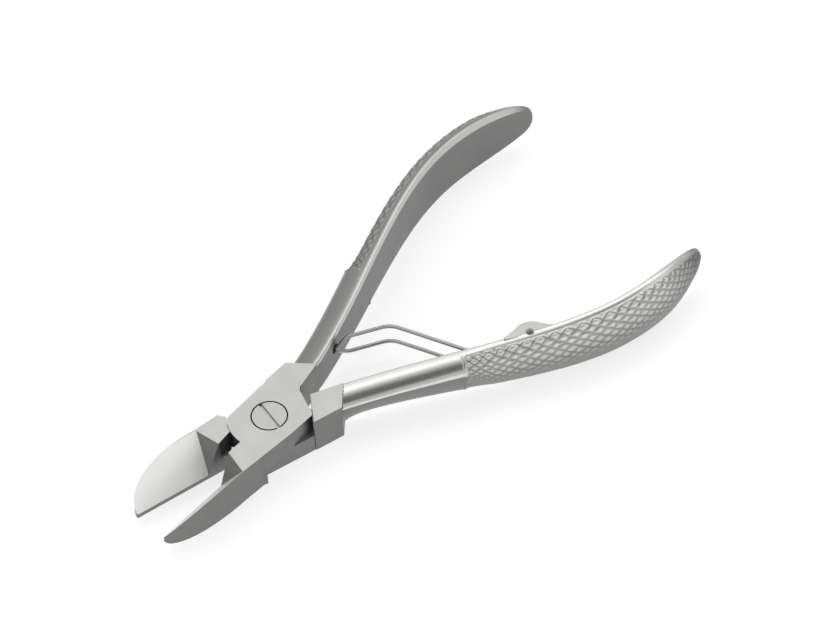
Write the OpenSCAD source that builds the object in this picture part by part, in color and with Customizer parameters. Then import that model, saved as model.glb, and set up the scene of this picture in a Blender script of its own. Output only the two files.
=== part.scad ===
// Plier-type nail nipper with a lap joint, a slotted pivot screw and a wire return spring.
// Each lever is drawn as it lies with the jaws shut: tool axis along X, jaws at -X, handle at
// +X, pivot on the Z axis and joint underside at z = 0. It is then swung open to the rest pose.

/* [Overall] */
// Length from jaw tips to handle ends with the jaws shut
overall_length = 140; // [120:1:165]
// Distance from the pivot to the jaw tips
jaw_reach = 35.6; // [32:0.1:42]
// Thickness of the joint and the jaw roots
joint_thickness = 9.8; // [8.2:0.1:11.8]
// Half of the joint's width at the pivot
joint_half_width = 7.2; // [6.6:0.1:8.4]
// Angle that each lever swings from jaws shut to fully open
half_opening = 7.07; // [5.5:0.01:7.07]

/* [Lap joint] */
// Gap between the two lap faces
lap_gap = 0.05; // [0.03:0.01:0.1]
// Radius of each lap plate's front end, about the pivot
lap_front_radius = 9.5; // [9:0.1:10]
// Gap between a plate's front end and the seat round it
front_gap = 0.12; // [0.1:0.01:0.2]
// Radius on the plate corner that stops the opening
stop_corner_radius = 0.8; // [0.5:0.1:1]
// Gap left between that corner and the other lever's shoulder when fully open
stop_gap = 0.15; // [0.1:0.01:0.2]
// Lean of the shoulder that the corner meets, from square to the tool axis
shoulder_lean = 28; // [26:0.5:30]
// Place along the axis where the shoulder line crosses it
shoulder_x = 10.85; // [10.8:0.01:11.4]

/* [Jaws] */
// Height of the flat land under each cutting edge
edge_land = 1.2; // [0.6:0.1:1.6]
// Slope of the bevel that backs each cutting edge
bevel_angle = 55; // [48:1:60]
// Distance from the pivot to the shoulder where the bevel begins
bevel_start = 13.4; // [13.2:0.1:15]
// Angle by which the bevel's shoulder runs back towards the jaw's outer edge
bevel_shoulder_skew = 18; // [10:1:24]
// Lean of that shoulder from square to the joint
bevel_shoulder_lean = 20; // [10:1:26]
// Half of the shut jaws' width where they leave the joint
jaw_half_width = 6.5; // [5.6:0.1:7]
// Distance from the pivot to where the jaw begins to narrow
jaw_root = 15; // [13:0.5:18]
// Play left between the cutting edges when shut
edge_play = 0.02; // [0.01:0.01:0.05]

/* [Handles] */
// Distance from the tool axis to the inner face at the handle's widest point
bow = 20; // [17:0.1:23]
// Distance from the tool axis to the inner face at the handle's end
end_offset = 15.2; // [12:0.1:18]
// Height of the handle at its root
root_height = 9.7; // [7.9:0.1:9.8]
// Height of the handle at its broadest
grip_height = 15.2; // [12:0.1:17]
// Depth of the handle at its root, from inner face to crest
root_depth = 5.5; // [4.2:0.1:5.6]
// Depth of the handle in the knurled grip
grip_depth = 5.3; // [3.4:0.1:5.6]
// Width of the flat strip along both edges
edge_strip = 1.5; // [0.8:0.1:2]
// Distance along X from the pivot to the start of the knurling
knurl_start = 44; // [40:1:52]
// Arch exponent above the crest: 1 is an ellipse, less is fuller
upper_fullness = 0.9; // [0.7:0.05:1.2]
// Arch exponent below the crest: 2 is a straight chamfer
lower_fullness = 1.5; // [1:0.1:2]
// Height of the step that borders the knurling
knurl_step = 0.25; // [0.1:0.05:0.4]

/* [Pivot screw] */
// Diameter of the screw's head
head_diameter = 8.3; // [7:0.1:8.6]
// Depth of the head
head_depth = 1.8; // [1.4:0.1:2.2]
// Diameter of the screw's shank
shank_diameter = 5; // [4:0.1:5.6]
// Running clearance round the head and the shank, on the radius
running_gap = 0.05; // [0.03:0.01:0.08]
// Clearance between the shank and the lower lever's threaded hole, on the radius
thread_gap = 0.01; // [0.01:0.01:0.03]
// Width of the screwdriver slot
slot_width = 0.7; // [0.5:0.1:1.1]
// Depth of the screwdriver slot
slot_depth = 0.8; // [0.5:0.1:1]
// Turn of the slot from the line across the joint
slot_turn = -16; // [-45:1:45]

/* [Wire spring] */
// Diameter of the spring wire
wire_diameter = 0.9; // [0.7:0.1:1]
// Distance between the two legs, centre to centre
leg_spacing = 5.1; // [4:0.1:5.6]
// Distance along X from the pivot to the socket in the upper lever
socket_x = 26.2; // [25:0.1:28]
// Diameter of the socket that takes the wire ends
socket_diameter = 2.6; // [2.6:0.1:3]
// Depth of the socket
socket_depth = 2.2; // [2:0.1:2.6]
// Distance along X from the pivot to where the spring meets the lower lever
tip_x = 47.8; // [46:0.1:48]
// Sideways rise of the knee off the straight line between socket and tip
knee_rise = 6.1; // [4:0.1:7]
// Share of the way from socket to tip at which the knee stands
knee_share = 0.35; // [0.3:0.005:0.5]
// Gap left between the spring's end and the lower lever
tip_gap = 0.06; // [0.03:0.01:0.1]

/* [Lug] */
// Distance along X from the pivot to the lug's hole
lug_x = 59; // [58:0.5:66]
// Radius of the lug's round nose
lug_radius = 2.9; // [2.4:0.1:3.4]
// Diameter of the hole through the lug
lug_hole_diameter = 1.6; // [1.2:0.1:2]
// Half length of the lug's foot on the handle
lug_foot = 5; // [4:0.5:6]

/* [Hidden] */
$fn = 96;
steel = "silver";
handle_reach = overall_length - jaw_reach;
half_t = joint_thickness / 2;
half_w = joint_half_width;
seat_radius = lap_front_radius + front_gap;
// Where the flat boss ends and the rounded handle begins, inner and outer corner
boss_in = [17.6, 1.8];
boss_out = [13.4, half_w + 0.2];
far = 60;
stations = 44;
arc_steps = 8;

function bezier(p, u) =
    pow(1 - u, 3) * p[0] + 3 * u * pow(1 - u, 2) * p[1] + 3 * u * u * (1 - u) * p[2] + pow(u, 3) * p[3];
function slope(p, u) =
    3 * pow(1 - u, 2) * (p[1] - p[0]) + 6 * u * (1 - u) * (p[2] - p[1]) + 3 * u * u * (p[3] - p[2]);
function ray(a, l = 1) = l * [cos(a), sin(a)];
function clamp(v) = min(1, max(0, v));
function smooth(v) = clamp(v) * clamp(v) * (3 - 2 * clamp(v));
function unit(v) = v / norm(v);
function left(v) = [-v[1], v[0]];
function turn(p, a) = [p[0] * cos(a) - p[1] * sin(a), p[0] * sin(a) + p[1] * cos(a)];
function flip(p) = [p[0], -p[1]];

// Inner face of the handle: an S out of the joint, then a bow that curves back to the end
root_heading = 12;
waist = [0.43 * (handle_reach - 17.6) + 17.6 + 6.8, 0.83 * bow];
waist_heading = 17;
end_point = [handle_reach, end_offset];
root_curve = [[13, 0.82], [13, 0.82] + ray(root_heading, 18), waist - ray(waist_heading, 17), waist];
bow_curve = [waist, waist + ray(waist_heading, 18), end_point - ray(-18, 17), end_point];
function face_point(u) = u < 0.5 ? bezier(root_curve, 2 * u) : bezier(bow_curve, 2 * u - 1);
function face_heading(u) = unit(u < 0.5 ? slope(root_curve, 2 * u) : slope(bow_curve, 2 * u - 1));
// Station whose point lies at a given distance from the pivot, found by halving
function station_at(x, lo = 0, hi = 1, n = 24) =
    n == 0 ? (lo + hi) / 2
    : face_point((lo + hi) / 2)[0] < x ? station_at(x, (lo + hi) / 2, hi, n - 1)
    : station_at(x, lo, (lo + hi) / 2, n - 1);

// The handle's end is rounded like a tongue: 1 along the grip, falling to a blunt nose
end_round = 20;
function tongue(x) =
    pow(max(0.004, 1 - pow(clamp((x - handle_reach + end_round) / end_round), 2)), 1 / 3);
function height_at(x) =
    (root_height + (grip_height - root_height) * smooth((x - boss_in[0]) / (0.6 * handle_reach))) * tongue(x);
function depth_at(x) =
    (root_depth + (grip_depth - root_depth) * smooth((x - knurl_start) / 30)
    - (x > knurl_start ? knurl_step : 0)) * (0.3 + 0.7 * tongue(x));

// One section across the handle: flat inner face, flat edge strips and an outer face that is
// full above the crest and nearly flat below it. Fullness is the exponent of the arch
function section(x) =
    let (h = height_at(x) / 2, d = depth_at(x), s = min(edge_strip, d * 0.45))
    concat(
        [[0, -h], [s, -h]],
        [for (i = [1 : 2 * arc_steps - 1])
            let (a = 90 * i / arc_steps - 90, e = a < 0 ? lower_fullness : upper_fullness)
            [s + (d - s) * pow(cos(a), e), h * sign(a) * pow(abs(sin(a)), e)]],
        [[s, h], [0, h]]);
function placed(u) =
    let (p = face_point(u), n = left(face_heading(u)))
    [for (q = section(p[0])) [p[0] + n[0] * q[0], p[1] + n[1] * q[0], half_t + q[1]]];

// Skin through a list of rings that run anticlockwise about the sweep, closed at both ends
module skin(rings) {
    m = len(rings[0]);
    n = len(rings);
    function id(k, i) = k * m + i % m;
    polyhedron(
        points = [for (r = rings) each r],
        faces = concat(
            [[for (i = [0 : m - 1]) i]],
            [for (k = [0 : n - 2], i = [0 : m - 1]) [id(k, i), id(k + 1, i), id(k + 1, i + 1)]],
            [for (k = [0 : n - 2], i = [0 : m - 1]) [id(k, i), id(k + 1, i + 1), id(k, i + 1)]],
            [[for (i = [m - 1 : -1 : 0]) id(n - 1, i)]]),
        convexity = 4);
}

// Two rings at the knurling's border make its step crisp
module handle() {
    border = station_at(knurl_start);
    us = concat([for (i = [0 : stations]) i / stations], [border - 0.0005, border + 0.0005]);
    skin([for (u = sorted(us)) placed(u)]);
}
function sorted(v) = len(v) < 2 ? v :
    let (p = v[floor(len(v) / 2)])
    concat(sorted([for (x = v) if (x < p) x]), [p], sorted([for (x = v) if (x > p) x]));

// Joint outlines, seen from the screw side
function shoulder(y) = [shoulder_x - y * tan(shoulder_lean), y];
module boss_2d() {
    polygon([shoulder(boss_out[1]), boss_out, boss_in, [shoulder_x + 0.1, 0.4], shoulder(0.35)]);
}

// Lap plate: round front end, straight sides, and the rounded corner that stops the opening.
// The corner's centre lies its radius and the stop gap away from the other lever's shoulder
stop_p = turn([shoulder_x, 0], -2 * half_opening);
stop_n = turn([-cos(shoulder_lean), sin(shoulder_lean)], -2 * half_opening);
corner_y = stop_corner_radius - half_w;
corner_x = stop_p[0]
    + (stop_corner_radius + stop_gap - (corner_y - stop_p[1]) * stop_n[1]) / stop_n[0];
module plate_2d() {
    c = [corner_x, corner_y];
    intersection() {
        polygon(concat(
            [boss_in, [boss_out[0] - 0.01, boss_out[1]], [-lap_front_radius, half_w - 0.5],
                [-lap_front_radius, -half_w + 0.2]],
            [for (a = [-90 : 10 : -20]) c + ray(a, stop_corner_radius)],
            [[shoulder_x - 1.2, -0.3], [shoulder_x - 0.3, 0.4]]));
        union() {
            circle(lap_front_radius);
            translate([0, -far])
                square(2 * far);
            translate([-far, -2 * far])
                square(2 * far);
        }
    }
}

// Full-height jaw root and jaw: straight inner edge, bowed outer edge and a blunt tip
module jaw_2d() {
    reach = jaw_reach - jaw_root;
    polygon(concat(
        [[-6, -edge_play], [-jaw_reach + 0.2, -edge_play], [-jaw_reach, -0.3]],
        [for (i = [1 : 12]) let (a = 90 * i / 12)
            [-jaw_reach + reach * (1 - cos(a)), -0.3 - (jaw_half_width - 0.3) * pow(sin(a), 0.95)]],
        [[-lap_front_radius, -half_w + 0.2], [0, -half_w]]));
}
// The plate's own front corner beside the axis, with its small notch
module tooth_2d() {
    polygon([[-8, -1.5], [-8, 0], [-lap_front_radius, -0.05], [-11.4, -0.2],
        [-11.8, 0.45], [-12.7, -0.25], [-12.7, -1.5]]);
}
// Beside the other lever's plate only the boss and the jaw are left. The jaw root is seated
// round that plate, with its outer corner cut back and room for the other plate's tooth
module seated_2d() {
    boss_2d();
    difference() {
        jaw_2d();
        circle(seat_radius);
        polygon([[-8.9, -half_w - 1], [-8.9, -jaw_half_width], [-7.7, -5.3], [0, -5.3], [0, -half_w - 1]]);
        polygon([[-8, 1], [-8, -1.7], [-9.7, -1.4], [-13.2, -0.15], [-13.2, 1]]);
    }
}
module plated_2d() {
    boss_2d();
    plate_2d();
    jaw_2d();
    tooth_2d();
}

// Everything above the bevel and in front of its slanted shoulder
module bevel_cut() {
    intersection() {
        translate([-far, -edge_play, edge_land])
            rotate([-bevel_angle, 0, 0])
                translate([0, -far, 0])
                    cube([2 * far, 2 * far, far]);
        translate([-bevel_start, 0, joint_thickness])
            rotate([0, 0, -bevel_shoulder_skew])
                rotate([0, bevel_shoulder_lean, 0])
                    translate([-2 * far, -far, -far])
                        cube([2 * far, 2 * far, 2 * far]);
    }
}

// One lever; plate_up puts its lap plate on the screw side of the split plane
module lever_metal(plate_up) {
    slab = half_t - lap_gap / 2;
    difference() {
        union() {
            translate([0, 0, plate_up ? 0 : slab])
                linear_extrude(joint_thickness - slab)
                    seated_2d();
            translate([0, 0, plate_up ? joint_thickness - slab : 0])
                linear_extrude(slab)
                    plated_2d();
        }
        bevel_cut();
    }
    handle();
}

module upper_lever() {
    color(steel)
        rotate(half_opening)
            difference() {
                lever_metal(true);
                translate([0, 0, -1])
                    cylinder(d = shank_diameter + 2 * running_gap, h = joint_thickness + 2);
                translate([0, 0, joint_thickness - head_depth - lap_gap])
                    cylinder(d = head_diameter + 2 * running_gap, h = head_depth + 1);
                spring_socket();
            }
}

module lower_lever() {
    color(steel)
        rotate(-half_opening)
            mirror([0, 1, 0])
                difference() {
                    union() {
                        lever_metal(false);
                        lug();
                    }
                    translate([0, 0, -1])
                        cylinder(d = shank_diameter + 2 * thread_gap, h = joint_thickness + 2);
                    lug_hole();
                }
}

module lug() {
    u = station_at(lug_x);
    p = face_point(u);
    d = face_heading(u);
    h = height_at(lug_x) - 0.1;
    root = 0.8;
    translate([p[0], p[1], half_t - h / 2])
        rotate(atan2(d[1], d[0]))
            linear_extrude(h)
                polygon([[-lug_foot, root], [-lug_foot, 0], lug_radius * [-0.8, -0.6],
                    for (a = [217 : 8 : 323]) ray(a, lug_radius),
                    lug_radius * [0.8, -0.6], [lug_foot, 0], [lug_foot, root]]);
}
module lug_hole() {
    p = face_point(station_at(lug_x));
    translate([p[0], p[1], -far])
        cylinder(d = lug_hole_diameter, h = 2 * far, $fn = 48);
}

// Socket in the upper lever's inner face, square to the face
socket_u = station_at(socket_x);
socket_p = face_point(socket_u);
socket_n = left(face_heading(socket_u));
module spring_socket() {
    translate([socket_p[0], socket_p[1], half_t])
        rotate(atan2(socket_n[1], socket_n[0]))
            rotate([0, 90, 0])
                translate([0, 0, -1])
                    cylinder(d = socket_diameter, h = socket_depth + 1, $fn = 48);
}

module pivot_screw() {
    color(steel)
        rotate(half_opening)
            difference() {
                union() {
                    cylinder(d = shank_diameter, h = joint_thickness - 0.5);
                    translate([0, 0, joint_thickness - head_depth])
                        cylinder(d = head_diameter, h = head_depth);
                }
                rotate(slot_turn)
                    translate([-slot_width / 2, -head_diameter, joint_thickness - slot_depth])
                        cube([slot_width, 2 * head_diameter, 2 * slot_depth]);
            }
}

// Wire path in the rest pose: out of the socket, apart, over the knee and down to the tip.
// The wire turns about the anchor, just off the socket's mouth, as the levers close
mouth_offset = 0.35;
stub_length = 1.7;
stub_lean = 12;
stub_spacing = wire_diameter + 0.02;
anchor = turn(socket_p - mouth_offset * socket_n, half_opening);
tip_face = turn(flip(face_point(station_at(tip_x))), -half_opening);
tip_n = turn(flip(left(face_heading(station_at(tip_x)))), -half_opening);
tip = tip_face - tip_n * (wire_diameter / 2 + tip_gap);
function run(u, side) = anchor + (tip - anchor) * u + side * left(unit(tip - anchor));
knee = run(knee_share, knee_rise);

function at(p, z) = [p[0], p[1], half_t + z];
// Corners of one leg: place, distance from the middle and radius of the bend
spread = anchor + 2.8 * turn(unit(knee - anchor), 10);
leg = [
    [anchor, stub_spacing / 2, 0.5],
    [spread, leg_spacing / 2, 0.9],
    [knee, leg_spacing / 2, 2.2],
    [tip, leg_spacing / 2, 1.2]];
stub = anchor + stub_length * turn(socket_n, half_opening - stub_lean);
lowest = len(leg) - 1;
corners = concat(
    [[at(stub, -stub_spacing / 2), 0]],
    [for (c = leg) [at(c[0], -c[1]), c[2]]],
    [for (i = [lowest : -1 : 0]) [at(leg[i][0], leg[i][1]), leg[i][2]]],
    [[at(stub, stub_spacing / 2), 0]]);
last = len(corners) - 1;
function bend(a, b, c, r) =
    let (p = b + r * unit(a - b), q = b + r * unit(c - b))
    [for (u = [0 : 0.2 : 1]) pow(1 - u, 2) * p + 2 * u * (1 - u) * b + u * u * q];
wire_path = concat(
    [corners[0][0]],
    [for (i = [1 : last - 1])
        each bend(corners[i - 1][0], corners[i][0], corners[i + 1][0], corners[i][1])],
    [corners[last][0]]);
wire_end = len(wire_path) - 1;
wire_dirs = [for (i = [0 : wire_end])
    unit(wire_path[min(i + 1, wire_end)] - wire_path[max(i - 1, 0)])];
function carried(dirs, i = 1, ns = [[0, 0, 1]]) =
    i == len(dirs) ? ns
    : carried(dirs, i + 1, concat(ns, [unit(ns[i - 1] - (ns[i - 1] * dirs[i]) * dirs[i])]));
wire_ups = carried(wire_dirs);
wire_sides = 14;
module wire_spring() {
    color(steel)
        skin([for (i = [0 : wire_end])
            [for (k = [0 : wire_sides - 1])
                let (a = 360 * k / wire_sides)
                wire_path[i] + wire_diameter / 2 * (cos(a) * wire_ups[i]
                    + sin(a) * cross(wire_dirs[i], wire_ups[i]))]]);
}

upper_lever();
lower_lever();
pivot_screw();
wire_spring();
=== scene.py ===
# %% [markdown]
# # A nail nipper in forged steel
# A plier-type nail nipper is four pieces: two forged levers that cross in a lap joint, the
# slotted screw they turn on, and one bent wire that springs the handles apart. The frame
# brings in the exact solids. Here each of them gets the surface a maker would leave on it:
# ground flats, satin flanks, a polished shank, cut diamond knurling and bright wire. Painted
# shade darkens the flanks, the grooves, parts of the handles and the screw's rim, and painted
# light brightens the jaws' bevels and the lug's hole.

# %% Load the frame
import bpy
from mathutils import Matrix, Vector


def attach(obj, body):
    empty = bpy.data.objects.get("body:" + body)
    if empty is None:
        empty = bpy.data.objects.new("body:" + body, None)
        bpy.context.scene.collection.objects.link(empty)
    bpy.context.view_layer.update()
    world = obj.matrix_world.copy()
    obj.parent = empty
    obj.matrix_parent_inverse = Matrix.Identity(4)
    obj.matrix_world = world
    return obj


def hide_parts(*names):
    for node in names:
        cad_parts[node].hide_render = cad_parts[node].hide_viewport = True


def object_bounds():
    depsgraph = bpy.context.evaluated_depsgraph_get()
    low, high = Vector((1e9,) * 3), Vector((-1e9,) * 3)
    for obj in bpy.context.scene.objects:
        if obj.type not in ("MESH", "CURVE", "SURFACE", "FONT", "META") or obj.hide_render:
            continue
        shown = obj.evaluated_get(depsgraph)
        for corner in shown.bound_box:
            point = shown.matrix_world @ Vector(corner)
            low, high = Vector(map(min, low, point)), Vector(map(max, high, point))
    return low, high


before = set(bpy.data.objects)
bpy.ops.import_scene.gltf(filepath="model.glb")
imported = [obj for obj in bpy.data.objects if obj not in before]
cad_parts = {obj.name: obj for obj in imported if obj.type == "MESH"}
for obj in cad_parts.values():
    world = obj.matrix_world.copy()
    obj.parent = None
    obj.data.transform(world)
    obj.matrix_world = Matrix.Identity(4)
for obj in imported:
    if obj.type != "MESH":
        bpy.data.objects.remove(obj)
cad_box = [list(corner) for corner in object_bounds()]

import math

import bpy
import numpy as np
from mathutils import Matrix, Vector

MM = 0.001  # sizes are written in millimetres and times this is metres
low, high = (Vector(corner) for corner in cad_box)
print("the frame holds", sorted(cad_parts))
print("its size in mm is", [round(v / MM, 1) for v in high - low])

# %% [markdown]
# ## The camera
# The tool is seen from its jaws, from above and a little turned. A long lens from far away
# keeps its straight edges parallel, as in a catalogue picture.

# %% Place the camera
camera_azimuth = math.radians(37.284)
camera_elevation = math.radians(50.555)
camera_roll = math.radians(4.908)
camera_distance = 3.0
frame_width = 0.1841
sensor_width = 36
aim = Vector((0.04742, 0.00673, 0.00029))
sight = Vector((
    math.sin(camera_azimuth) * math.cos(camera_elevation),
    math.cos(camera_azimuth) * math.cos(camera_elevation),
    -math.sin(camera_elevation)))
level = Vector((math.cos(camera_azimuth), -math.sin(camera_azimuth), 0))
raised = level.cross(sight)
across = level * math.cos(camera_roll) - raised * math.sin(camera_roll)
upward = level * math.sin(camera_roll) + raised * math.cos(camera_roll)
bpy.ops.object.camera_add(location=aim - sight * camera_distance)
camera = bpy.context.object
camera.matrix_world = Matrix.Translation(aim - sight * camera_distance) @ Matrix(
    (across, upward, -sight)).transposed().to_4x4()
camera.data.sensor_width = sensor_width
camera.data.lens = sensor_width * camera_distance / frame_width
bpy.context.scene.camera = camera
print("camera", [round(v, 3) for v in camera.location], "lens", round(camera.data.lens), "mm")

# %% [markdown]
# ## Small helpers
# Colours are written as sRGB hex, the way a painter picks them, and turned to linear light.
# One function adds a shader node with its settings and its links.

# %% Colour and node helpers
def linear(hex_colour):
    """An sRGB hex colour as linear RGBA."""
    parts = [int(hex_colour[i:i + 2], 16) / 255 for i in (1, 3, 5)]
    return [c / 12.92 if c <= 0.04045 else ((c + 0.055) / 1.055) ** 2.4 for c in parts] + [1]


def add_node(tree, kind, links=None, **settings):
    """Adds a node. links maps its inputs to sockets or values; settings are its properties."""
    node = tree.nodes.new(kind)
    for name, value in settings.items():
        setattr(node, name, value)
    for name, value in (links or {}).items():
        if isinstance(value, bpy.types.NodeSocket):
            tree.links.new(value, node.inputs[name])
        else:
            node.inputs[name].default_value = value
    return node


print("#808080 looks half bright, and its light level is", round(linear("#808080")[0], 3))

# %% [markdown]
# ## Steel finishes
# The whole tool is one martensitic stainless steel, AISI 420, and only the finish differs.
# Some finishes also carry painted shade, and one carries painted light, in their colour.
# A finish is a base colour, a roughness and the marks that its tool left: long scratches from
# a belt, a fine blur from tumbling, streaks from a buffing wheel. The marks vary the roughness
# and tilt the surface by a few thousandths of a millimetre. They could be a scratched image
# laid over the steel, but stretched noise has no seams and keeps its scale on every piece.
# Belt scratches really lie about 0.1 mm apart, too fine to show at arm's length, so they are
# drawn 0.25 to 0.4 mm apart.

# %% A steel finish
noise_low, noise_high = 0.3, 0.7  # nearly all of a noise texture's values lie between these
mottle_mm = 7  # the size of the cloudy patches that grinding by hand leaves


def steel(name, colour, rough, streak=(1, 1, 1), streak_mm=0.3, depth_mm=0.004,
          vary=0.06, mottle=0.05, metallic=1, shades=None):
    """Steel with marks of streak_mm, drawn out by streak along each axis, and slow mottling.
    shades names the attributes that darken it, each with its darkest level."""
    material = bpy.data.materials.new(name)
    material.use_nodes = True
    tree = material.node_tree
    shader = tree.nodes["Principled BSDF"]
    shader.inputs["Metallic"].default_value = metallic
    place = add_node(tree, "ShaderNodeTexCoord")
    stretched = add_node(tree, "ShaderNodeMapping", {
        "Vector": place.outputs["Object"], "Scale": streak})
    marks = add_node(tree, "ShaderNodeTexNoise", {
        "Vector": stretched.outputs["Vector"], "Scale": 1 / (streak_mm * MM),
        "Detail": 3, "Roughness": 0.6})
    slow = add_node(tree, "ShaderNodeTexNoise", {
        "Vector": place.outputs["Object"], "Scale": 1 / (mottle_mm * MM),
        "Detail": 4, "Roughness": 0.6})
    roughness = add_node(tree, "ShaderNodeMapRange", {
        "Value": marks.outputs["Fac"], "From Min": noise_low, "From Max": noise_high,
        "To Min": rough - vary, "To Max": rough + vary})
    tree.links.new(roughness.outputs["Result"], shader.inputs["Roughness"])
    shade = add_node(tree, "ShaderNodeMapRange", {
        "Value": slow.outputs["Fac"], "From Min": noise_low, "From Max": noise_high,
        "To Min": 1 - mottle, "To Max": 1})
    tint = add_node(tree, "ShaderNodeMix", {
        "Factor": 1, 6: linear(colour), 7: shade.outputs["Result"]},
        data_type="RGBA", blend_type="MULTIPLY")
    base = tint.outputs[2]
    for attribute, darkest in (shades or {}).items():
        value = add_node(tree, "ShaderNodeAttribute", attribute_name=attribute)
        dim = add_node(tree, "ShaderNodeMapRange", {
            "Value": value.outputs["Fac"], "From Min": 0, "From Max": 1,
            "To Min": darkest, "To Max": 1})
        shaded = add_node(tree, "ShaderNodeMix", {
            "Factor": 1, 6: base, 7: dim.outputs["Result"]},
            data_type="RGBA", blend_type="MULTIPLY")
        base = shaded.outputs[2]
    tree.links.new(base, shader.inputs["Base Color"])
    bump = add_node(tree, "ShaderNodeBump", {
        "Height": marks.outputs["Fac"], "Distance": depth_mm * MM, "Strength": 1})
    tree.links.new(bump.outputs["Normal"], shader.inputs["Normal"])
    return material


# %% The finishes of the forgings, the screw and the wire
# Ground on a belt: a satin with short scratches along the tool and a little cloudiness
ground = steel("ground_420_stainless", "#B9B9B7", 0.36, streak=(0.12, 1, 1), streak_mm=0.25,
               mottle=0.09)
# Tumbled with stones: an even finish with no direction; its dark grey is painted shade on
# the faces that look sideways
flank = steel("tumbled_shaded_420_stainless", "#7E7E7D", 0.42, streak_mm=0.4, mottle=0.1)
# Buffed on a cloth wheel: smooth enough for long highlights, with very faint streaks; the
# upper handle's back and each handle's very end are painted darker, as painted shade
polished = steel("polished_420_stainless", "#BEBEBC", 0.26, streak=(0.1, 1, 1), streak_mm=0.3,
                 depth_mm=0.0002, vary=0.015, shades={"back_and_end_shade": 0.3})
# Rolled by a wheel: bright where it stands up, and grey in the grooves, on the grip's lower side
# and end and on the upper handle's back, all painted shade
knurled = steel("knurled_420_stainless", "#E6E6E4", 0.4, streak_mm=0.4,
                shades={"groove_shade": 0.5, "grip_shade": 0.28, "back_and_end_shade": 0.3})
# Stoned by hand after the grinding, a rough finish; its near-white, half metallic colour is
# painted light, so the bevels and the lug's hole look lit
honed_painted_light = steel("honed_painted_light_420_stainless", "#F0F0EE", 0.5, streak=(1, 0.15, 1), streak_mm=0.25,
              metallic=0.6)
FORGED = [ground, flank, polished, knurled, honed_painted_light]
GROUND, FLANK_SHADED, POLISHED, KNURLED, HONED_PAINTED_LIGHT = range(len(FORGED))
# Turned and then ground flush; the gap around its head is painted dark, as painted shade
screw_steel = steel("turned_303_stainless", "#B4B4B2", 0.34, streak=(0.12, 1, 1), streak_mm=0.25)
shadowed = steel("rim_shade_303_stainless", "#2E2E2D", 0.5, streak_mm=0.3)
# Pulled through a die: smooth, bright and even
wire_steel = steel("drawn_302_spring_wire", "#A6A6A4", 0.24, streak_mm=0.3)
print("finishes:", [m.name for m in FORGED + [screw_steel, wire_steel]])

# %% [markdown]
# ## Modelling helpers
# Each operator works on what is selected, so everything is deselected first and the wanted
# faces are then chosen by their place or their normal.

# %% Selection and modifier helpers
def only(piece):
    """Makes piece the only selected object and the active one."""
    for other in bpy.context.selected_objects:
        other.select_set(False)
    bpy.context.view_layer.objects.active = piece
    piece.select_set(True)
    return piece


def edit(piece, *steps):
    """Runs each step, a function without arguments, in edit mode with all of piece selected."""
    only(piece)
    bpy.ops.object.mode_set(mode="EDIT")
    bpy.ops.mesh.select_all(action="SELECT")
    for step in steps:
        step()
    bpy.ops.object.mode_set(mode="OBJECT")


def finish(piece, kind, **settings):
    """Adds a modifier with its settings and applies it."""
    only(piece)
    modifier = piece.modifiers.new(kind.lower(), kind)
    for name, value in settings.items():
        setattr(modifier, name, value)
    bpy.ops.object.modifier_apply(modifier=modifier.name)


def carve(piece, tool, operation="DIFFERENCE"):
    """Cuts tool out of piece, or joins it on, and throws the tool away."""
    finish(piece, "BOOLEAN", object=tool, operation=operation, solver="EXACT")
    bpy.data.objects.remove(tool)


def settle(piece):
    """Puts the object's place and turn into its mesh, as the frame's own nodes have it."""
    piece.data.transform(piece.matrix_world)
    piece.matrix_world = Matrix.Identity(4)


def round_edges(piece, width_mm, angle=25, segments=2):
    """Rounds every edge that is sharper than angle degrees."""
    finish(piece, "BEVEL", width=width_mm * MM, segments=segments, limit_method="ANGLE",
           angle_limit=math.radians(angle))


print("helpers:", [step.__name__ for step in (only, edit, finish, carve, settle, round_edges)])

# %% [markdown]
# ## The handle's line
# Each lever is worked on as it lies with the jaws shut: the tool's axis along X, the pivot on
# the Z axis and the joint's underside at height 0, in millimetres. The inner face of the
# handle follows two curves, an S out of the joint and then a bow that turns back at the end.
# Two cubic curves that share a heading where they meet give this with eight points, and the
# frame's own levers follow the same two.

# %% The handle's sizes and its inner line
# Sizes are in millimetres here and in all the cells that follow
overall_length = 140
jaw_reach = 35.6
thickness = 9.8
half_opening = 7.07
handle_reach = overall_length - jaw_reach
bow, end_offset, end_round = 20, 15.2, 20
root_height, grip_height = 9.7, 15.2
root_depth, grip_depth = 5.5, 5.3
knurl_start, knurl_step = 44, 0.25
boss_inner, boss_outer = (17.6, 1.8), (13.4, 7.4)
nose_start, nose_thinning = 91, 0.6
root_angle, waist_angle, end_angle = 12, 17, -18  # degrees from the tool's axis
long_pull, short_pull = 18, 17  # how firmly each curve keeps to the heading at its ends


def ray(degrees, length):
    """A step of a length in a direction."""
    return length * np.array([math.cos(math.radians(degrees)), math.sin(math.radians(degrees))])


# The waist is where the S ends and the bow starts
waist = np.array([0.43 * (handle_reach - boss_inner[0]) + boss_inner[0] + 6.8, 0.83 * bow])
end_point = np.array([handle_reach, end_offset])
root_start = np.array([13, 0.82])
curves = [
    [root_start, root_start + ray(root_angle, long_pull),
     waist - ray(waist_angle, short_pull), waist],
    [waist, waist + ray(waist_angle, long_pull),
     end_point - ray(end_angle, short_pull), end_point]]


def bezier(points, u):
    """The points of a cubic curve at the shares u along it."""
    weights = [(1 - u) ** 3, 3 * u * (1 - u) ** 2, 3 * u * u * (1 - u), u ** 3]
    return sum(w[:, None] * p for w, p in zip(weights, points))


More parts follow.
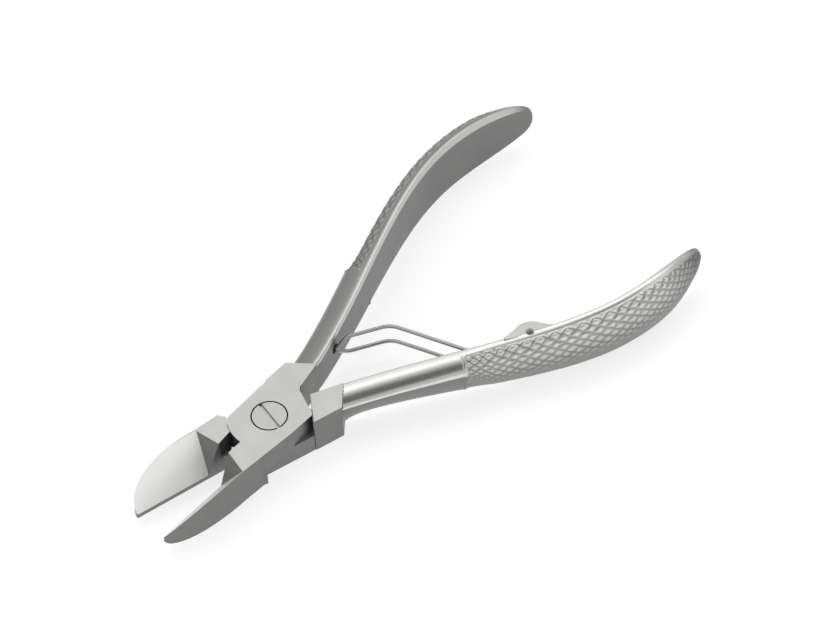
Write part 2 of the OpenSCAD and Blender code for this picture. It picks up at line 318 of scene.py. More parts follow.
share = np.linspace(0, 1, 2001)
line = np.vstack([bezier(curves[0], share), bezier(curves[1], share)[1:]])
along = np.concatenate([[0], np.cumsum(np.linalg.norm(np.diff(line, axis=0), axis=1))])
heading = np.gradient(line, along, axis=0)
heading /= np.linalg.norm(heading, axis=1)[:, None]
print("the handle's inner line is", round(along[-1], 1), "mm long")


def smooth(v):
    """0 below 0, 1 above 1 and an even S between them."""
    v = np.clip(v, 0, 1)
    return v * v * (3 - 2 * v)


# %% Height and depth along the handle
def tongue(x):
    """1 along the grip, falling to a blunt nose at the handle's end."""
    past = np.clip((x - handle_reach + end_round) / end_round, 0, 1)
    return np.maximum(0.004, 1 - past ** 2) ** (1 / 3)


def height_at(x):
    """Height of the handle: it swells from the joint to the grip and ends in the nose."""
    swell = smooth((x - boss_inner[0]) / (0.6 * handle_reach))
    return (root_height + (grip_height - root_height) * swell) * tongue(x)


def depth_at(x):
    """Depth of the handle from inner face to crest. The grip lies a step below the shank, and
    its end is thinned from the back."""
    step = knurl_step * smooth((x - knurl_start) / 0.35 + 0.5)
    full = root_depth + (grip_depth - root_depth) * smooth((x - knurl_start) / 30) - step
    past = np.clip((x - nose_start) / (handle_reach - nose_start), 0, 1)
    return full * (0.3 + 0.7 * tongue(x)) * (1 - nose_thinning * past ** 1.6)


grip_x = 60
print("at", grip_x, "mm the handle is", [round(float(v), 1) for v in (height_at(grip_x),
      depth_at(grip_x))], "mm high and deep")

# %% [markdown]
# ## The handle's skin
# A section has a flat inner face and then one round back that starts almost level and ends at
# its crest, above the middle. Below the crest a flank leans in to a narrow underside. Behind
# the boss the flank flares out into a web. A handle could be a bar that is bent and then
# sculpted, but its section changes all the way, so the skin starts as a plain grid instead.
# One way of the grid runs along the handle and the other runs round the section, and every
# corner gets its place by a formula.

# %% The section of the handle
edge_radius = 0.25
shank_crest, crest_drop = 0.55, 0.35  # shares of the half height: on the shank, and its fall
arch_from, arch_to, arch_gain = 2, 75, 7  # degrees of a circle that the back follows
fullness, fullness_loss = 1.75, 0.4  # 1 is a round flank, and more draws it in


def section_points():
    """Where round the section each column of the grid lies: part name and share along it. The
    arch and the flank have the most, because the diamonds are cut there."""
    return ([("inner", v) for v in np.linspace(-1, 1, 9)[1:-1]]
            + [("top_edge", v) for v in np.linspace(0, 1, 5)]
            + [("arch", v) for v in np.linspace(0, 1, 46)[1:]]
            + [("flank", v) for v in np.linspace(0, 1, 34)[1:]]
            + [("bottom", v) for v in np.linspace(1, 0, 8)[1:-1]]
            + [("low_edge", v) for v in np.linspace(1, 0, 5)])


def section_place(part, v, h, d, grip, foot):
    """Depth from the inner face and height from the middle of one point of a section of half
    height h and depth d. grip goes from 0 on the shank to 1 on the rounder grip; foot is the
    underside's width."""
    r = min(edge_radius, d * 0.2)
    crest = h * (shank_crest - crest_drop * grip)
    if part == "inner":
        return 0, v * (h - r)
    if part in ("top_edge", "low_edge"):
        a = math.pi / 2 * v
        side = 1 if part == "top_edge" else -1
        return r - r * math.cos(a), side * (h - r + r * math.sin(a))
    if part == "bottom":
        return r + (foot - r) * v, -h
    if part == "arch":
        first, last = math.radians(arch_from), math.radians(arch_to + arch_gain * grip)
        t = first + (last - first) * v
        out = (math.sin(t) - math.sin(first)) / (math.sin(last) - math.sin(first))
        fall = (math.cos(first) - math.cos(t)) / (math.cos(first) - math.cos(last))
        return r + (d - r) * out, h - (h - crest) * fall
    a = math.pi / 2 * v
    power = fullness - fullness_loss * grip
    return foot + (d - foot) * math.cos(a) ** power, crest - (h + crest) * math.sin(a) ** power


columns = section_points()
print("a section has", len(columns), "corners")

# %% Lay out the plain skin
shrink = 0.02  # keeps the skin just inside the frame's node
foot_share, foot_loss = 0.28, 0.03
web_start, web_spread, web_length = 14.6, 4.2, 2.0
boss_tuck = 0.12
stations = np.concatenate([
    np.arange(0, 12, 0.35), np.arange(12, 30, 0.8), np.arange(30, along[-1], 0.24), [along[-1]]])
line_x, line_y = (np.interp(stations, along, line[:, axis]) for axis in (0, 1))
way_x, way_y = (np.interp(stations, along, heading[:, axis]) for axis in (0, 1))
depths = depth_at(line_x) - shrink


def lay_out():
    """The place of every corner, one row for each station and one column round the section."""
    grips = smooth((line_x - knurl_start + 1) / 8)
    web = web_spread * np.exp(-np.maximum(line_x - web_start, 0) / web_length)
    feet = depths * (foot_share - foot_loss * grips) + web
    # Inside the boss the inner face draws back a little, so that it never shows there
    tuck = boss_tuck * (1 - smooth((line_x - boss_inner[0]) / 2))
    place = np.zeros((len(stations), len(columns), 3))
    for i, (h, d) in enumerate(zip(height_at(line_x) / 2, depths)):
        across_z = np.array([
            section_place(part, v, h, d, grips[i], feet[i]) for part, v in columns])
        inward = across_z[:, 0] + tuck[i] * (across_z[:, 0] < 1)
        place[i, :, 0] = line_x[i] - way_y[i] * inward
        place[i, :, 1] = line_y[i] + way_x[i] * inward
        place[i, :, 2] = thickness / 2 + across_z[:, 1]
    return place


def measure_round(place):
    """Girth, the distance round the section from the crest and positive above it, and the
    distance below the upper rim."""
    step = np.linalg.norm(np.diff(place, axis=1), axis=2)
    run = np.concatenate([np.zeros((len(stations), 1)), np.cumsum(step, axis=1)], axis=1)
    crest, rim = columns.index(("arch", 1.0)), columns.index(("top_edge", 1.0))
    girth = run[:, crest][:, None] - run
    return girth, girth[:, rim][:, None] - girth


plain = lay_out()
girth, from_rim = measure_round(plain)
s = stations[:, None]
field_start = np.interp(knurl_start, line_x, stations)
print("the skin has", len(stations), "rows; the knurling starts", round(field_start, 1), "mm along")

# %% [markdown]
# ## The diamonds
# Diamond knurling is two families of slanting grooves. On a real handle a hard wheel presses
# them in; a carved texture could fake them, but a low light across the grip shows at once
# that nothing stands up. So the corners of the grid are pushed inwards along the grooves,
# and the pillows between them stay where they were.

# %% Cut the diamonds
groove_depth, groove_share = 0.26, 0.3
border_step, bead = 0.1, 0.18
field_edge = 1.5  # how far below the upper rim the diamonds begin


def groove(phase):
    """1 on the pillow between two grooves and 0 at a groove's bottom."""
    return smooth(np.abs(phase - np.round(phase)) / groove_share)


def diamond_phases(s):
    """Rows counted along the grip and the diamonds' width there: they are smallest at the
    border and largest where the grip is broadest."""
    swell, dwindle = smooth(s / 14), smooth((s - 30) / 25)
    length = 2.1 + 1.1 * swell - 0.9 * dwindle
    width = 1.6 + 0.6 * swell - 0.4 * dwindle
    rows = np.concatenate([[0], np.cumsum(np.diff(s) * 2 / (length[1:] + length[:-1]))])
    return rows[:, None], width[:, None]


def cut_diamonds(place):
    """The corners with the knurling cut in, and how near each is to the top of its pillow, which
    paints shade into the grooves.
    """
    rows, width = diamond_phases(stations - field_start)
    # The knurling wheel wanders a little, so no two rows are quite alike
    wander = 0.05 * np.sin(0.9 * s + 1.3 * girth) + 0.04 * np.sin(2.3 * s - 0.7 * girth)
    ridge = np.minimum(groove(rows + wander + girth / width), groove(rows + wander - girth / width))
    # The diamonds start at the border, stop short of the upper rim and fade out on the flank
    inside = smooth((s - field_start - 0.3) / 0.4) * smooth((along[-1] - s - 1.5) / 3)
    field = inside * smooth((from_rim - field_edge) / 0.4) * smooth((girth + 5.5) / 5)
    # The field lies a step below the rim, and the border stands up as a round bead
    sink = (groove_depth * field * (1 - ridge)
            + border_step * inside * smooth((from_rim - 1.4) / 0.3)
            - bead * np.exp(-((s - field_start) / 0.3) ** 2) * smooth((from_rim - 1.2) / 0.6))
    normal = np.cross(np.gradient(place, axis=0), np.gradient(place, axis=1))
    normal /= np.maximum(np.linalg.norm(normal, axis=2), 1e-9)[:, :, None]
    middle = np.stack([line_x - way_y * depths / 2, line_y + way_x * depths / 2,
                       np.full(len(line_x), thickness / 2)], axis=1)
    outward = np.sign(np.sum(normal * (place - middle[:, None, :]), axis=2))
    return place - normal * (outward * sink)[:, :, None], 1 - field * (1 - ridge)


corners, groove_shade = cut_diamonds(plain)
deepest = np.linalg.norm(corners - plain, axis=2).max()
print("the deepest corner was pushed in", round(float(deepest), 2), "mm")

# %% [markdown]
# ## Painted shade on the handles
# The grip is painted darker on its lower side and towards its end, and the very end of each
# handle and the back of the upper handle are painted darker too: all painted shade. Each of
# these is a number on every corner, which the finishes read as an attribute, so it stays on the
# surface when it moves.

# %% Skin each handle
# Painted shade: the diamonds are painted darker below the crest and towards the end of the grip
grip_shade = np.clip((girth + 6) / 15, 0, 1) * (1 - 0.8 * smooth((s - along[-1] + 16) / 14))
# Painted shade on the back of the handle below its upper rim, and on its very end
back = 0.8 * smooth(from_rim / 0.8) + 0.2 * smooth((from_rim - 2.5) / 2.5)
end_shade = 1 - 0.85 * smooth((s - along[-1] + 6) / 5)
smooth_band = 1.15  # the rim above the diamonds, which stays polished
# Painted shade: the inner face, the flank and the lower edge take the darker flank colour
part_finish = {"inner": FLANK_SHADED, "top_edge": POLISHED, "arch": POLISHED, "flank": FLANK_SHADED,
               "bottom": GROUND, "low_edge": FLANK_SHADED}


def wrapped(table):
    """The table with its first column again at the end, where the skin closes."""
    return np.concatenate([table, table[:, :1]], axis=1)


def give_finishes(mesh, ix, iy):
    """Gives every face of the skin the finish of its part of the section."""
    for slot in FORGED:
        mesh.materials.append(slot)
    parts = [part for part, _ in columns]
    for face in mesh.polygons:
        i = min(ix[v] for v in face.vertices)
        j = min(iy[v] for v in face.vertices) % len(columns)
        # The last column of the inner face already turns into the edge beside it
        part = parts[min(j + 1, len(columns) - 1)] if parts[j] == "inner" else parts[j]
        kind = part_finish[part]
        in_field = stations[i] >= field_start + 0.2 and from_rim[i, j] > smooth_band
        if parts[j] in ("arch", "flank") and in_field:
            kind = KNURLED
        face.material_index = kind


def handle_skin(name, back_shading):
    """One handle as a closed skin. The second argument is how much painted shade darkens its back.
    """
    bpy.ops.mesh.primitive_grid_add(
        x_subdivisions=len(stations) - 1, y_subdivisions=len(columns), size=1)
    piece = bpy.context.object
    piece.name = name
    mesh = piece.data
    grid = np.array([v.co for v in mesh.vertices])
    ix = np.round((grid[:, 0] + 0.5) * (len(stations) - 1)).astype(int)
    iy = np.round((grid[:, 1] + 0.5) * len(columns)).astype(int)
    mesh.vertices.foreach_set("co", (wrapped(corners)[ix, iy] * MM).ravel())
    # Painted shade in the grooves, on the grip's lower side and end, and on the back and very end
    shades = {"groove_shade": groove_shade, "grip_shade": grip_shade, "back_and_end_shade": (1 - back_shading * back) * end_shade}
    for attribute, table in shades.items():
        values = mesh.attributes.new(attribute, "FLOAT", "POINT")
        values.data.foreach_set("value", wrapped(table)[ix, iy].astype(np.float32))
    give_finishes(mesh, ix, iy)
    edit(piece,
         lambda: bpy.ops.mesh.remove_doubles(threshold=0.004 * MM),
         lambda: bpy.ops.mesh.select_all(action="DESELECT"),
         lambda: bpy.ops.mesh.select_non_manifold(extend=False),
         lambda: bpy.ops.mesh.edge_face_add(),
         lambda: bpy.ops.mesh.select_all(action="SELECT"),
         lambda: bpy.ops.mesh.normals_make_consistent(inside=False))
    print(name, len(mesh.polygons), "faces")
    return piece


# %% [markdown]
# ## The joint and the jaw
# The lap plate, the boss and the jaw were milled and ground to flat faces, and the frame's
# node already has them exactly. A copy of it is merged and sawn off behind the boss. The
# jaw's outer wall then gets the lean that a forging and its grinding leave, which is not the
# same on the two levers, and every edge a small rounding, because an edge with no rounding
# never catches the light.

# %% The jaw and its lean
def shut_frame(side):
    """The matrix from the row's frame, in metres, to the shut lever's frame. The lower lever
    is the mirror image of the upper one, so its side is -1."""
    mirror = Matrix.Diagonal((1, side, 1, 1))
    return mirror @ Matrix.Rotation(math.radians(-side * half_opening), 4, "Z")


jaw_start = -9.7
# By lever: how far the wall moves out at the underside, how far back in from there to the
# top, and how far in besides at the heel of the jaw
drafts = {1: (-0.2, 0.05, 0.22), -1: (0.35, 0.35, 0)}
edge_land, edge_play = 1.2, 0.02
bevel_angle = 55
bevel_slope = math.tan(math.radians(bevel_angle))
bevel_end, heel_start = -15.4, -10
wall_from, edge_side = -5, -1.2  # the outer wall lies beyond the first; nothing nearer moves
boss_play = 0.8  # the lower boss's sawn face lies this far back
hair = 0.01  # less than any real gap or step


def draft(vertices, spread, total, heel):
    """Leans the jaw's outer wall by moving its corners. Where the wall would rise through the
    cutting bevel it ends on the bevel instead."""
    moved = 0
    for vertex in vertices:
        x, y, z = vertex.co / MM
        outer_wall = x < jaw_start + 0.3 and y < wall_from
        if y > edge_side or not (outer_wall or x < jaw_start):
            continue
        amount = 1.0 if outer_wall else float(smooth((jaw_start - x) / 3) * smooth((-y - 0.6) / 3))
        on_bevel = abs(z - edge_land - (-edge_play - y) * bevel_slope) < 3 * hair
        if on_bevel and x > bevel_end:
            continue
        gain = total * amount / thickness
        shift = -spread * amount
        if outer_wall and x > heel_start:
            shift += heel
        new_y = y + shift + gain * z
        bevel_z = edge_land + (-edge_play - new_y) * bevel_slope
        if x < bevel_end and (on_bevel or z > bevel_z):
            # Stays on the bevel: z = land + (-play - y) * slope, y = y0 + shift + gain * z
            rise = edge_land - edge_play * bevel_slope
            new_y = (y + shift + gain * rise) / (1 + gain * bevel_slope)
            vertex.co.z = (edge_land + (-edge_play - new_y) * bevel_slope) * MM
        vertex.co.y = new_y * MM
        moved += 1
    return moved


print("the walls move out at the underside by", [lean[0] for lean in drafts.values()], "mm")


# %% Take the joint block from the frame
def joint_block(node, side):
    """The joint and the jaw of a lever, cut from a copy of the frame's node."""
    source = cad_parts[node]
    block = source.copy()
    block.data = source.data.copy()
    block.data.materials.clear()
    block.parent = None
    bpy.context.collection.objects.link(block)
    for key in list(block.keys()):
        del block[key]
    block.name = node + "_block"
    block.matrix_world = Matrix.Identity(4)
    block.data.transform(shut_frame(side))
    inner, outer = Vector((*boss_inner, 0)) * MM, Vector((*boss_outer, 0)) * MM
    normal = (outer - inner).cross(Vector((0, 0, 1))).normalized()
    edit(block,
         lambda: bpy.ops.mesh.remove_doubles(threshold=0.002 * MM),
         lambda: bpy.ops.mesh.bisect(
             plane_co=inner, plane_no=normal, use_fill=True, clear_outer=True),
         lambda: bpy.ops.mesh.select_all(action="SELECT"),
         lambda: bpy.ops.mesh.dissolve_limited(angle_limit=math.radians(1)),
         lambda: bpy.ops.mesh.select_all(action="SELECT"),
         lambda: bpy.ops.mesh.normals_make_consistent(inside=False))
    if side < 0:
        move = Vector((*ray(root_angle, 1), 0)) * boss_play * MM
        for vertex in block.data.vertices:
            if abs((vertex.co - inner).dot(normal)) < hair * MM:
                vertex.co += move
    moved = draft(block.data.vertices, *drafts[side])
    round_edges(block, 0.12)
    print(block.name, len(block.data.polygons), "faces,", moved, "corners drafted")
    for slot in FORGED:
        block.data.materials.append(slot)
    for face in block.data.polygons:
        # Painted shade: faces that look sideways take the darker flank colour, the flats the bright
        # one
        flat = abs(face.normal.z) > 0.5
        tilt = face.normal.z - math.cos(math.radians(bevel_angle))
        # Painted light: the cutting bevels take the near-white honed colour
        on_bevel = abs(tilt) < 0.02 and face.normal.y > 0.5
        face.material_index = HONED_PAINTED_LIGHT if on_bevel else GROUND if flat else FLANK_SHADED
    return block


# %% [markdown]
# ## The levers
# The block and the handle are one forging, so they are joined into one closed skin. The upper
# lever has a drilled socket for the spring's ends, and the lower one has a lug with a hole.
# Cutting and joining with a solid tool is how a workshop would do it, and it leaves clean rims.

# %% Places on the inner face, and the drill
socket_x, socket_diameter, socket_depth = 26.2, 2.6, 2.2
lug_x, lug_radius, lug_hole, lug_foot = 59, 2.9, 1.6, 5
lug_spread, lug_step, lug_root = 1.22, 0.3, 0.7
overshoot = 2  # how far a drill starts outside the piece


def on_line(x):
    """The inner face's point and heading at a distance from the pivot along X."""
    s = np.interp(x, line[:, 0], along)
    point = Vector((np.interp(s, along, line[:, 0]), np.interp(s, along, line[:, 1]), 0))
    way = Vector((np.interp(s, along, heading[:, 0]), np.interp(s, along, heading[:, 1]), 0))
    return point, way.normalized()


def drill(piece, place, direction, diameter, depth, wall, chamfer=0.15):
    """A blind or through hole from place along direction, with a broken rim."""
    turn = Vector((0, 0, 1)).rotation_difference(direction)
    for kind in ("bore", "rim"):
        if kind == "bore":
            bpy.ops.mesh.primitive_cylinder_add(
                vertices=48, radius=diameter / 2 * MM, depth=(depth + overshoot) * MM)
            centre = place + direction * (depth - overshoot) / 2
        else:
            bpy.ops.mesh.primitive_cone_add(
                vertices=48, radius1=(diameter / 2 + 2 * chamfer) * MM,
                radius2=(diameter / 2 - 2 * chamfer) * MM, depth=4 * chamfer * MM)
            centre = place + direction * chamfer
        tool = bpy.context.object
        tool.rotation_euler = turn.to_euler()
        tool.location = centre * MM
        bpy.context.view_layer.update()
        for slot in FORGED:
            tool.data.materials.append(slot)
        for face in tool.data.polygons:
            face.material_index = GROUND if kind == "rim" else wall
        carve(piece, tool)


print("the socket is at", [round(v, 1) for v in on_line(socket_x)[0]], "on the shut lever")


# %% The lug
def lug():
    """A half-round ear on a flared foot: a disc, sawn off flat and drawn out to the handle."""
    point, way = on_line(lug_x)
    tall = (height_at(lug_x) - lug_step) * MM
    bpy.ops.mesh.primitive_cylinder_add(vertices=56, radius=lug_radius * MM, depth=tall)
    ear = bpy.context.object
    chord = lug_radius * 0.6 * MM

    def keep_flat_end():
        bpy.ops.mesh.select_all(action="DESELECT")
        bpy.ops.object.mode_set(mode="OBJECT")
        for face in ear.data.polygons:
            face.select = face.normal.y > 0.99
        bpy.ops.object.mode_set(mode="EDIT")

    def draw_out(length, spread):
        bpy.ops.mesh.extrude_region_move(TRANSFORM_OT_translate={"value": (0, length, 0)})
        bpy.ops.transform.resize(value=(spread, 1, 1), center_override=(0, 0, 0))

    edit(ear,
         lambda: bpy.ops.mesh.bisect(plane_co=(0, -chord, 0), plane_no=(0, 1, 0),
                                     use_fill=True, clear_outer=True),
         keep_flat_end,
         lambda: draw_out(chord, lug_foot / (lug_radius * 0.8)),
         lambda: draw_out(lug_root * MM, 1))
    round_edges(ear, 0.15)
    for slot in FORGED:
        ear.data.materials.append(slot)
    for face in ear.data.polygons:
        # Painted shade: the lug's sides take the darker flank colour
        face.material_index = GROUND if abs(face.normal.z) > 0.5 else FLANK_SHADED
    ear.scale = (lug_spread, 1, 1)
    ear.rotation_euler = (0, 0, math.atan2(way.y, way.x))
    ear.location = (point + Vector((0, 0, thickness / 2))) * MM
    bpy.context.view_layer.update()
    settle(ear)
    print("the lug has", len(ear.data.polygons), "faces")
    return ear


# %% Forge each lever
flat_area = 0.6  # mm2: a face larger than this was ground flat and keeps its own normal
smooth_angle = 38  # degrees: a sharper edge stays an edge


def lever(node, side, body):
    """Joins the joint block and the handle, drills the lever and swings it open."""
    # Only the upper handle's back takes painted shade
    skin = handle_skin(node + "_handle", back_shading=0.85 if side > 0 else 0)
    block = joint_block(node, side)
    if side < 0:
        carve(skin, lug(), "UNION")
        point, _ = on_line(lug_x)
        top = (thickness + height_at(lug_x) - lug_step) / 2
        # Painted light: the lug's hole takes the near-white honed colour, though it lies in shade
        drill(skin, point + Vector((0, 0, top)), Vector((0, 0, -1)), lug_hole, 20, HONED_PAINTED_LIGHT)
    carve(skin, block, "UNION")
    if side > 0:
        point, way = on_line(socket_x)
        inward = Vector((-way.y, way.x, 0))
        mouth = point + Vector((0, 0, thickness / 2))
        drill(skin, mouth, inward, socket_diameter, socket_depth, FLANK_SHADED)
    skin.name = node + "_forging"
    skin.data.transform(shut_frame(side).inverted())
    if side < 0:
        skin.data.flip_normals()
    only(skin)
    bpy.ops.object.shade_smooth_by_angle(angle=math.radians(smooth_angle))
    sharp = skin.data.attributes.get("sharp_edge") or skin.data.attributes.new(
        "sharp_edge", "BOOLEAN", "EDGE")
    edges = {tuple(sorted(e.vertices)): e.index for e in skin.data.edges}
    for face in skin.data.polygons:
        if face.area > flat_area * MM * MM and face.material_index in (GROUND, HONED_PAINTED_LIGHT):
            for pair in face.edge_keys:
                sharp.data[edges[tuple(sorted(pair))]].value = True
    finish(skin, "WEIGHTED_NORMAL", mode="FACE_AREA", weight=60, keep_sharp=True)
    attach(skin, body)
    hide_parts(node)
    print(skin.name, len(skin.data.polygons), "faces")


lever("upper_lever", 1, "upper")
lever("lower_lever", -1, "lower")

# %% [markdown]
# ## The pivot screw
# The screw is turned on a lathe, sawn across its head for the driver and ground flush with
# the joint after it is fitted. The broken edge of the head is painted dark as painted shade in
# the gap, and shows as a ring.

# %% Turn the screw
head_diameter, head_depth, shank_diameter = 8.3, 1.8, 5
rim_width = 0.3
slot_width, slot_depth, slot_turn = 0.85, 0.6, -16


def pivot_screw():
    """A turned disc with its shank drawn out below, rounded and then sawn across."""
    bpy.ops.mesh.primitive_cylinder_add(
        vertices=96, radius=head_diameter / 2 * MM, depth=head_depth * MM,
        location=(0, 0, (thickness - head_depth / 2) * MM))
    screw = bpy.context.object
    settle(screw)

    def choose_underside():
        bpy.ops.mesh.select_all(action="DESELECT")
        bpy.ops.object.mode_set(mode="OBJECT")
        for face in screw.data.polygons:
            face.select = face.normal.z < -0.9
        bpy.ops.object.mode_set(mode="EDIT")

    edit(screw, choose_underside,
         lambda: bpy.ops.mesh.inset(thickness=(head_diameter - shank_diameter) / 2 * MM),
         lambda: bpy.ops.mesh.extrude_region_move(
             TRANSFORM_OT_translate={"value": (0, 0, -(thickness - head_depth) * MM)}))
    round_edges(screw, rim_width, angle=40)
    bpy.ops.mesh.primitive_cube_add(size=1)
    saw = bpy.context.object
    saw.scale = (slot_width * MM, 2 * head_diameter * MM, 2 * slot_depth * MM)
    saw.rotation_euler = (0, 0, math.radians(slot_turn + half_opening))
    saw.location = (0, 0, thickness * MM)
    bpy.context.view_layer.update()
    carve(screw, saw)
    screw.data.materials.append(screw_steel)
    screw.data.materials.append(shadowed)
    # Painted shade: the rounded rim and side of the head take the dark colour
    for face in screw.data.polygons:
        from_axis = math.hypot(face.center.x, face.center.y)
        rim = from_axis > (head_diameter / 2 - rim_width - hair) * MM
        if rim and face.center.z < (thickness - hair) * MM:
            face.material_index = 1
    only(screw)
    bpy.ops.object.shade_smooth_by_angle(angle=math.radians(smooth_angle))
    finish(screw, "WEIGHTED_NORMAL", mode="FACE_AREA", weight=60, keep_sharp=True)
    screw.name = "slotted_pivot_screw"
    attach(screw, "lower")
    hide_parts("pivot_screw")
    print(screw.name, len(screw.data.polygons), "faces")


pivot_screw()

# %% [markdown]
# ## The wire spring
# One length of spring wire goes out of the socket as two ends side by side, spreads into two
# legs, bends over a knee and comes down on the lower handle. A curve with a round bevel is
# the simplest way to draw a wire; it is made a mesh once its bends are right.

# %% Find the wire's corners
wire_diameter, leg_spacing = 0.9, 5.1
tip_x, tip_gap, knee_rise, knee_share = 47.8, 0.06, 6.1, 0.35
mouth_offset, stub_length, stub_lean = 0.35, 1.7, 12
spread_reach, spread_turn = 2.8, 10
end_play, wire_shrink = 0.02, 0.005


def turned(v, degrees):
    """The vector turned about the pivot's axis."""
    return Matrix.Rotation(math.radians(degrees), 3, "Z") @ v


def wire_corners():
    """Corner points in millimetres, each with the radius of its bend."""
    point, way = on_line(socket_x)
    inward = Vector((-way.y, way.x, 0))
    anchor = turned(point - mouth_offset * inward, half_opening)
    stub = anchor + stub_length * turned(inward, half_opening - stub_lean)
    low_point, low_way = on_line(tip_x)
    low_inward = Vector((-low_way.y, low_way.x, 0))
    flip = Matrix.Diagonal((1, -1, 1))
    face = turned(flip @ low_point, -half_opening)
    away = turned(flip @ low_inward, -half_opening)
    tip = face - away * (wire_diameter / 2 + tip_gap)
    run = (tip - anchor).normalized()
    knee = anchor + (tip - anchor) * knee_share + knee_rise * Vector((-run.y, run.x, 0))
    spread = anchor + spread_reach * turned((knee - anchor).normalized(), spread_turn)
    near, wide = (wire_diameter + end_play) / 2, leg_spacing / 2
    leg = [(stub, near, 0), (anchor, near, 0.5), (spread, wide, 0.9), (knee, wide, 2.2),
           (tip, wide, 1.2)]
    lift = Vector((0, 0, thickness / 2))
    down = [(p + lift - Vector((0, 0, off)), r) for p, off, r in leg]
    back = [(p + lift + Vector((0, 0, off)), r) for p, off, r in reversed(leg)]
    return down + back


print("the wire is bent at", len(wire_corners()) - 2, "corners")


# %% Bend the wire
def bend(before, corner, after, radius):
    """Points on the bend that takes the place of a corner."""
    start = corner + radius * (before - corner).normalized()
    stop = corner + radius * (after - corner).normalized()
    return [(1 - u) ** 2 * start + 2 * u * (1 - u) * corner + u * u * stop
            for u in np.linspace(0, 1, 9)]


def wire_spring():
    """The bent wire, drawn as a curve with a round bevel and made a mesh."""
    corners = wire_corners()
    path = [corners[0][0]]
    for (before, _), (corner, radius), (after, _) in zip(corners, corners[1:], corners[2:]):
        path += bend(before, corner, after, radius)
    path.append(corners[-1][0])
    curve = bpy.data.curves.new("wire", "CURVE")
    curve.dimensions = "3D"
    curve.bevel_depth = (wire_diameter / 2 - wire_shrink) * MM
    curve.bevel_resolution = 6
    curve.use_fill_caps = True
    spline = curve.splines.new("POLY")
    spline.points.add(len(path) - 1)
    for spot, p in zip(spline.points, path):
        spot.co = (*(p * MM), 1)
    wire = bpy.data.objects.new("bent_wire_spring", curve)
    bpy.context.collection.objects.link(wire)
    only(wire)
    bpy.ops.object.convert(target="MESH")
    wire = bpy.context.object
    wire.data.materials.clear()
    wire.data.materials.append(wire_steel)
    edit(wire,
         lambda: bpy.ops.mesh.remove_doubles(threshold=0.001 * MM),
         lambda: bpy.ops.mesh.normals_make_consistent(inside=False))
    bpy.ops.object.shade_smooth_by_angle(angle=math.radians(50))
    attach(wire, "spring")
    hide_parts("wire_spring")
    print(wire.name, len(wire.data.polygons), "faces")


wire_spring()

# %% [markdown]
# ## Floor and light
# The tool lies on a white table. A metal shows its surroundings more than its own colour, so
# the surroundings are part of the finish: a soft white room, a broad panel for the flats, a
# strip overhead for the long highlights on the shanks, a low strip for the walls of the jaws
# and a grey card above the camera, which gives the polished backs a dark band to set off the
# highlight.

# %% White floor
# It glows a little for the camera, for reflections and through glass, so that it is white at a
# plain level of light, and the matt part under the glow still takes the tool's shadow
floor_size, floor_drop = 6, 0.0001
floor_glow, floor_grey = 0.68, "#AEAEAE"
bpy.ops.mesh.primitive_plane_add(size=floor_size, location=(aim.x, aim.y, low.z - floor_drop))
floor = bpy.context.object
floor.name = "floor"
paper = bpy.data.materials.new("white_paper")
paper.use_nodes = True
tree = paper.node_tree
tree.nodes.remove(tree.nodes["Principled BSDF"])
seen = add_node(tree, "ShaderNodeLightPath")
either = add_node(tree, "ShaderNodeMath", {
    0: seen.outputs["Is Camera Ray"], 1: seen.outputs["Is Glossy Ray"]}, operation="MAXIMUM")
any_of = add_node(tree, "ShaderNodeMath", {
    0: either.outputs[0], 1: seen.outputs["Is Transmission Ray"]}, operation="MAXIMUM")
glow = add_node(tree, "ShaderNodeMath", {
    0: any_of.outputs[0], 1: floor_glow}, operation="MULTIPLY")
lit = add_node(tree, "ShaderNodeEmission", {
    "Color": linear("#FFFFFF"), "Strength": glow.outputs[0]})
matt = add_node(tree, "ShaderNodeBsdfDiffuse", {"Color": linear(floor_grey)})
both = add_node(tree, "ShaderNodeAddShader", {0: lit.outputs[0], 1: matt.outputs[0]})
tree.links.new(both.outputs[0], tree.nodes["Material Output"].inputs["Surface"])
floor.data.materials.append(paper)
print("the floor is", floor_size, "m wide and lies", floor_drop / MM, "mm below the tool")

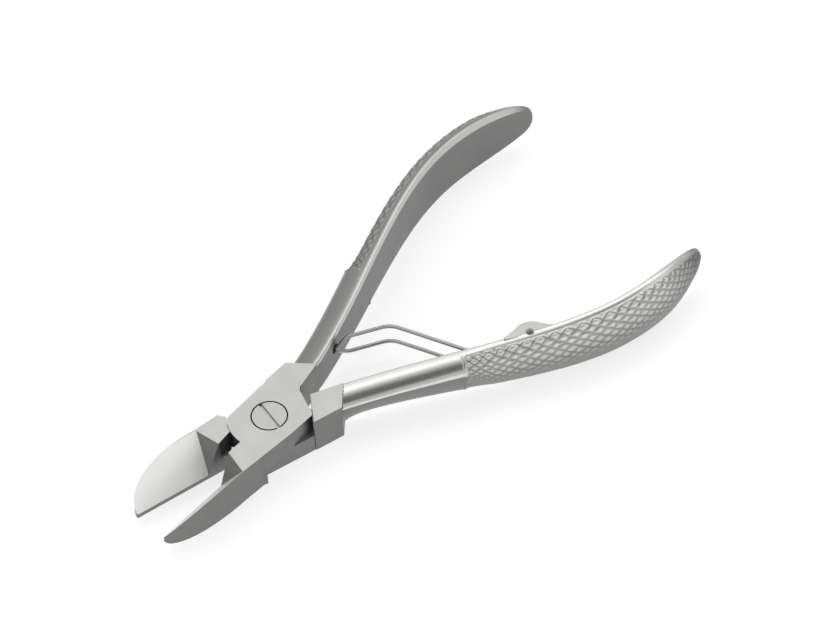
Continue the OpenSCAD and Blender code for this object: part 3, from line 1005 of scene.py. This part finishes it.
# %% The room
room_level = 0.9
world = bpy.data.worlds.new("white_room")
bpy.context.scene.world = world
world.use_nodes = True
world.node_tree.nodes["Background"].inputs["Color"].default_value = linear("#FFFFFF")
world.node_tree.nodes["Background"].inputs["Strength"].default_value = room_level
print("the room glows at", room_level)


# %% Lamps and a card
def toward(direction, distance, kind, size, name, twist=0):
    """A panel or card at a distance from the tool in a direction, facing it and turned by
    twist degrees in its own plane."""
    direction = Vector(direction).normalized()
    spot = aim + direction * distance
    facing = direction.to_track_quat("Z", "Y").to_matrix()
    turn = (facing @ Matrix.Rotation(math.radians(twist), 3, "Z")).to_euler()
    if kind == "light":
        lamp = bpy.data.lights.new(name, "AREA")
        lamp.shape = "RECTANGLE"
        lamp.size, lamp.size_y = size
        panel = bpy.data.objects.new(name, lamp)
        bpy.context.collection.objects.link(panel)
    else:
        bpy.ops.mesh.primitive_plane_add(size=1)
        panel = bpy.context.object
        panel.name = name
        panel.scale = (size[0], size[1], 1)
    panel.location = spot
    panel.rotation_euler = turn
    panel.visible_camera = False
    return panel


def glowing(direction, distance, size, radiance, name, twist=0):
    """A lamp whose face has the given radiance, so that a mirror shows it at that level."""
    lamp = toward(direction, distance, "light", size, name, twist)
    lamp.data.energy = radiance * math.pi * size[0] * size[1]
    return lamp


# Directions are from the tool; distances and sizes are in metres
glowing((0.321, 0.421, 0.848), distance=1.2, size=(0.7, 0.5), radiance=0.5, name="broad_panel")
glowing((0.32, 0.17, 0.93), distance=1.2, size=(0.26, 1.1), radiance=1.7,
        name="overhead_strip", twist=-46)
glowing((-0.20, -0.95, 0.25), distance=1.0, size=(1.5, 0.26), radiance=0.9, name="low_strip")
card = toward((0.01, -0.36, 0.93), distance=0.8, kind="card", size=(0.7, 0.46), name="dark_card")
board = bpy.data.materials.new("dark_card")
board.use_nodes = True
paint = board.node_tree.nodes["Principled BSDF"]
paint.inputs["Base Color"].default_value = linear("#959595")
paint.inputs["Roughness"].default_value = 0.9
card.data.materials.append(board)
bpy.context.scene.view_settings.view_transform = "Standard"
